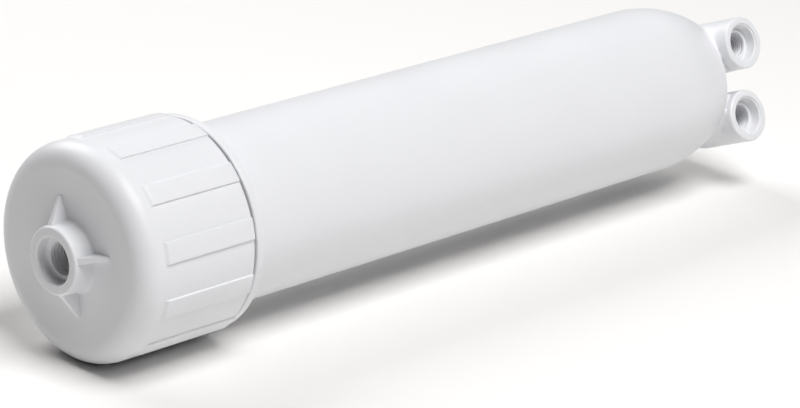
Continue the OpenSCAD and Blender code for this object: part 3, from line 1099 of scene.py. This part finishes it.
def drawn_plastic(colours):
    """Extruded core tube: fine lines along the tube."""
    shader = Shader("core_plastic")
    lines = shader.noise(0.35 * MM, 3, (60, 1, 1))
    cloud = shader.noise(12 * MM, 3)
    colour = shader.tones(lines * 0.5 + cloud * 0.5, colours.core, 0.93, 1.04)
    relief = shader.bump(lines, 0.015 * MM)
    return shader.finish(colour, 0.38 + lines * 0.15, relief)


def satin_plastic(colours):
    """Moulded end caps: satin grain with flow lines that spread from the hub."""
    shader = Shader("end_cap_plastic")
    _, angle, radius = shader.around()
    flow = (angle * 23 + radius * (900 / math.tau)).maths("SINE") * 0.5 + 0.5
    grain = shader.noise(0.3 * MM, 3)
    cloud = shader.noise(9 * MM, 3)
    colour = shader.tones(cloud * 0.8 + flow * 0.2, colours.end_cap, 0.92, 1.05)
    relief = shader.bump(grain * 0.8 + flow * 0.2, 0.02 * MM)
    return shader.finish(colour, 0.4 + grain * 0.15, relief)


def membrane_film(colours):
    """Cast film: long casting streaks, faint pores and a soft sheen."""
    shader = Shader("membrane_film")
    streaks = shader.noise(1.4 * MM, 3, (30, 1, 1))
    pores = shader.noise(0.12 * MM, 2)
    colour = shader.tones(streaks, colours.membrane, 0.9, 1.06)
    relief = shader.bump(streaks * 0.4 + pores * 0.6, 0.012 * MM)
    return shader.finish(colour, 0.34 + pores * 0.12, relief)


def net(shader, across, along):
    """Height of two layers of crossing strands: how many around the winding and their slope along it."""
    x, angle, _ = shader.around()
    strands = [(angle * across + x * (side * along)).maths("COSINE").between(0.55, 1) for side in (1, -1)]
    return strands[0].maths("MAXIMUM", strands[1])


def spacer_net(colours):
    """Extruded diamond net between the films."""
    shader = Shader("spacer_net")
    strands = net(shader, 40, 1.6 / MM)
    cloud = shader.noise(6 * MM, 2)
    colour = shader.tones(strands * 0.8 + cloud * 0.2, colours.spacer, 0.35, 1.08)
    relief = shader.bump(strands, 0.3 * MM)
    return shader.finish(colour, 0.55 - strands * 0.2, relief)


def carrier_cloth(colours):
    """Fine stiff knit: wales along the winding crossed by courses."""
    shader = Shader("carrier_cloth", Sheen_Weight=0.25, Sheen_Roughness=0.4)
    x, angle, _ = shader.around()
    wales = (angle * 90).maths("COSINE") * 0.5 + 0.5
    loops = (x * (math.tau / (0.7 * MM)) + wales * 2.2).maths("COSINE") * 0.5 + 0.5
    fuzz = shader.noise(0.15 * MM, 2)
    knit = wales * 0.5 + loops * 0.4 + fuzz * 0.1
    colour = shader.tones(knit, colours.carrier, 0.72, 1.05)
    relief = shader.bump(knit, 0.12 * MM)
    return shader.finish(colour, 0.75 + fuzz * 0.15, relief)


def wrap_film(colours):
    """Glossy tape wound on at a slope: an edge at every overlap and faint creases."""
    shader = Shader("wrap_film", Coat_Weight=0.5, Coat_Roughness=0.12)
    x, angle, _ = shader.around()
    turns = (x / (38 * MM) + angle / math.tau).maths("FRACT")
    edge = turns.between(0.0, 0.02) - turns.between(0.02, 1) * 0.6
    creases = shader.noise(3.5 * MM, 3, (3, 1, 1)).between(0.55, 0.75)
    colour = shader.tones(turns * 0.6 + creases * 0.4, colours.wrap, 0.9, 1.06)
    relief = shader.bump(edge * 0.7 + creases * 0.3, 0.1 * MM)
    return shader.finish(colour, 0.2 + creases * 0.15, relief)


def floor_card(colours):
    """Matt white card with a barely seen tooth."""
    shader = Shader("floor_card", Specular_IOR_Level=0.2)
    tooth = shader.noise(0.8 * MM, 3)
    cloud = shader.noise(120 * MM, 2)
    colour = shader.tones(cloud, colours.floor, 0.995, 1.005)
    relief = shader.bump(tooth, 0.01 * MM)
    return shader.finish(colour, 0.85 + tooth * 0.1, relief)


FINISHES = {
    "seal_rubber": seal_rubber,
    "core_plastic": drawn_plastic,
    "end_cap_plastic": satin_plastic,
    "membrane_film": membrane_film,
    "spacer_net": spacer_net,
    "carrier_cloth": carrier_cloth,
    "wrap_film": wrap_film,
}


def paint(piece, material):
    """Gives a piece its one material."""
    piece.data.materials.clear()
    piece.data.materials.append(material)


# ---------------------------------------------------------------- operators


# Side of the square floor, in metres
FLOOR_SIZE = 40

# Camera: turn, rise and roll in degrees, the point it looks at, its distance and its lens
VIEW_TURN = -46.396
VIEW_RISE = 20.194
VIEW_ROLL = 3.034
VIEW_TARGET = Vector((0.15004, -0.00701, -0.01315))
VIEW_DISTANCE = 1.24332
VIEW_LENS = 158.3

# Lamps: name, turn and rise in degrees, and power in watts
LAMP_TARGET = Vector((0.15, 0, 0))
LAMP_DISTANCE = 1.6
LAMP_SIZE = 0.9
LAMPS = [
    ("key_light", 0, 65, 23.9),
    ("front_light", 0, 40, 2.7),
    ("back_light", 180, 40, 14.3),
]


def aim_from(turn, rise):
    """Direction from the vessel to a lamp or camera, in degrees: turn 0 is -Y, rise is from the floor."""
    turn = math.radians(turn)
    rise = math.radians(rise)
    return Vector((math.sin(turn) * math.cos(rise), -math.cos(turn) * math.cos(rise), math.sin(rise)))


def settings():
    """Sizes of the housing, sizes of the cap, and colours."""
    scene = bpy.context.scene
    return scene.vessel_housing, scene.vessel_cap, scene.vessel_finish


class VESSEL_OT_housing(bpy.types.Operator):
    """Models the one-piece housing with its side ports"""

    bl_idname = "vessel.housing"
    bl_label = "Housing"

    def execute(self, context):
        size, _, finish = settings()
        piece = make_housing(size)
        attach(piece, "housing")
        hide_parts("housing_body")
        paint(piece, polypropylene(finish, "housing_polypropylene"))
        return {"FINISHED"}


class VESSEL_OT_screw_cap(bpy.types.Operator):
    """Models the ribbed screw cap with its feed port and fins"""

    bl_idname = "vessel.screw_cap"
    bl_label = "Screw cap"

    def execute(self, context):
        housing, size, finish = settings()
        piece = make_cap(size, housing)
        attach(piece, "cap")
        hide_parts("screw_cap")
        paint(piece, polypropylene(finish, "cap_polypropylene"))
        return {"FINISHED"}


class VESSEL_OT_finishes(bpy.types.Operator):
    """Gives the seals, the core and the wound element their materials"""

    bl_idname = "vessel.finishes"
    bl_label = "Seals and element"

    def execute(self, context):
        finish = settings()[2]
        materials = {slot: make(finish) for slot, make in FINISHES.items()}
        for part in frame["record"]["subparts"]:
            if part["material_slot"] == SLOT_PLASTIC:
                continue
            if part["material_slot"] not in materials:
                raise RuntimeError(f"no finish for the slot of {part['node']}")
            paint(frame["nodes"][part["node"]], materials[part["material_slot"]])
        return {"FINISHED"}


class VESSEL_OT_stage(bpy.types.Operator):
    """Lays the pale floor and sets the soft lights and the camera"""

    bl_idname = "vessel.stage"
    bl_label = "Stage"

    def execute(self, context):
        start_clean()
        bpy.ops.mesh.primitive_plane_add(size=FLOOR_SIZE, location=(0, 0, cad_low.z))
        floor = bpy.context.object
        floor.name = "floor"
        paint(floor, floor_card(settings()[2]))
        world = bpy.data.worlds.new("Studio")
        context.scene.world = world
        world.use_nodes = True
        background = world.node_tree.nodes["Background"]
        background.inputs["Color"].default_value = (1, 1, 1, 1)
        # The backdrop looks pale but lights nothing, so that the lamps alone shape the vessel
        path = world.node_tree.nodes.new("ShaderNodeLightPath")
        world.node_tree.links.new(path.outputs["Is Camera Ray"], background.inputs["Strength"])
        camera = bpy.data.objects.new("camera", bpy.data.cameras.new("camera"))
        context.collection.objects.link(camera)
        back = aim_from(VIEW_TURN, VIEW_RISE)
        camera.location = VIEW_TARGET + back * VIEW_DISTANCE
        roll = Matrix.Rotation(math.radians(VIEW_ROLL), 4, "Z")
        look = (-back).to_track_quat("-Z", "Y").to_matrix().to_4x4()
        camera.rotation_euler = (look @ roll).to_euler()
        camera.data.lens = VIEW_LENS
        context.scene.camera = camera
        context.scene.view_settings.view_transform = "Standard"
        for name, turn, rise, power in LAMPS:
            lamp = bpy.data.objects.new(name, bpy.data.lights.new(name, "AREA"))
            context.collection.objects.link(lamp)
            towards = aim_from(turn, rise)
            lamp.location = LAMP_TARGET + towards * LAMP_DISTANCE
            lamp.rotation_euler = (-towards).to_track_quat("-Z", "Y").to_euler()
            lamp.data.size = LAMP_SIZE
            lamp.data.energy = power
        return {"FINISHED"}


class VESSEL_PT_builder(bpy.types.Panel):
    """Sidebar panel with the sizes, the finishes and a button for each group of pieces"""

    bl_idname = "VESSEL_PT_builder"
    bl_label = "Membrane vessel"
    bl_space_type = "VIEW_3D"
    bl_region_type = "UI"
    bl_category = "Vessel"

    def draw(self, context):
        groups = zip(("Housing", "Screw cap", "Finishes"), settings(), STEPS[1:])
        for title, group, step in groups:
            box = self.layout.box()
            box.label(text=title)
            for key in type(group).__annotations__:
                box.prop(group, key)
            box.operator(step.bl_idname)
        self.layout.operator(VESSEL_OT_stage.bl_idname)


STEPS = [VESSEL_OT_stage, VESSEL_OT_housing, VESSEL_OT_screw_cap, VESSEL_OT_finishes]
CLASSES = [VesselHousing, VesselCap, VesselFinish] + STEPS + [VESSEL_PT_builder]


def register():
    for item in CLASSES:
        bpy.utils.register_class(item)
    bpy.types.Scene.vessel_housing = PointerProperty(type=VesselHousing)
    bpy.types.Scene.vessel_cap = PointerProperty(type=VesselCap)
    bpy.types.Scene.vessel_finish = PointerProperty(type=VesselFinish)


def unregister():
    del bpy.types.Scene.vessel_finish
    del bpy.types.Scene.vessel_cap
    del bpy.types.Scene.vessel_housing
    for item in reversed(CLASSES):
        bpy.utils.unregister_class(item)


def main():
    """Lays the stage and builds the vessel."""
    register()
    bpy.ops.vessel.stage()
    bpy.ops.vessel.housing()
    bpy.ops.vessel.screw_cap()
    bpy.ops.vessel.finishes()


if __name__ == "__main__":
    main()
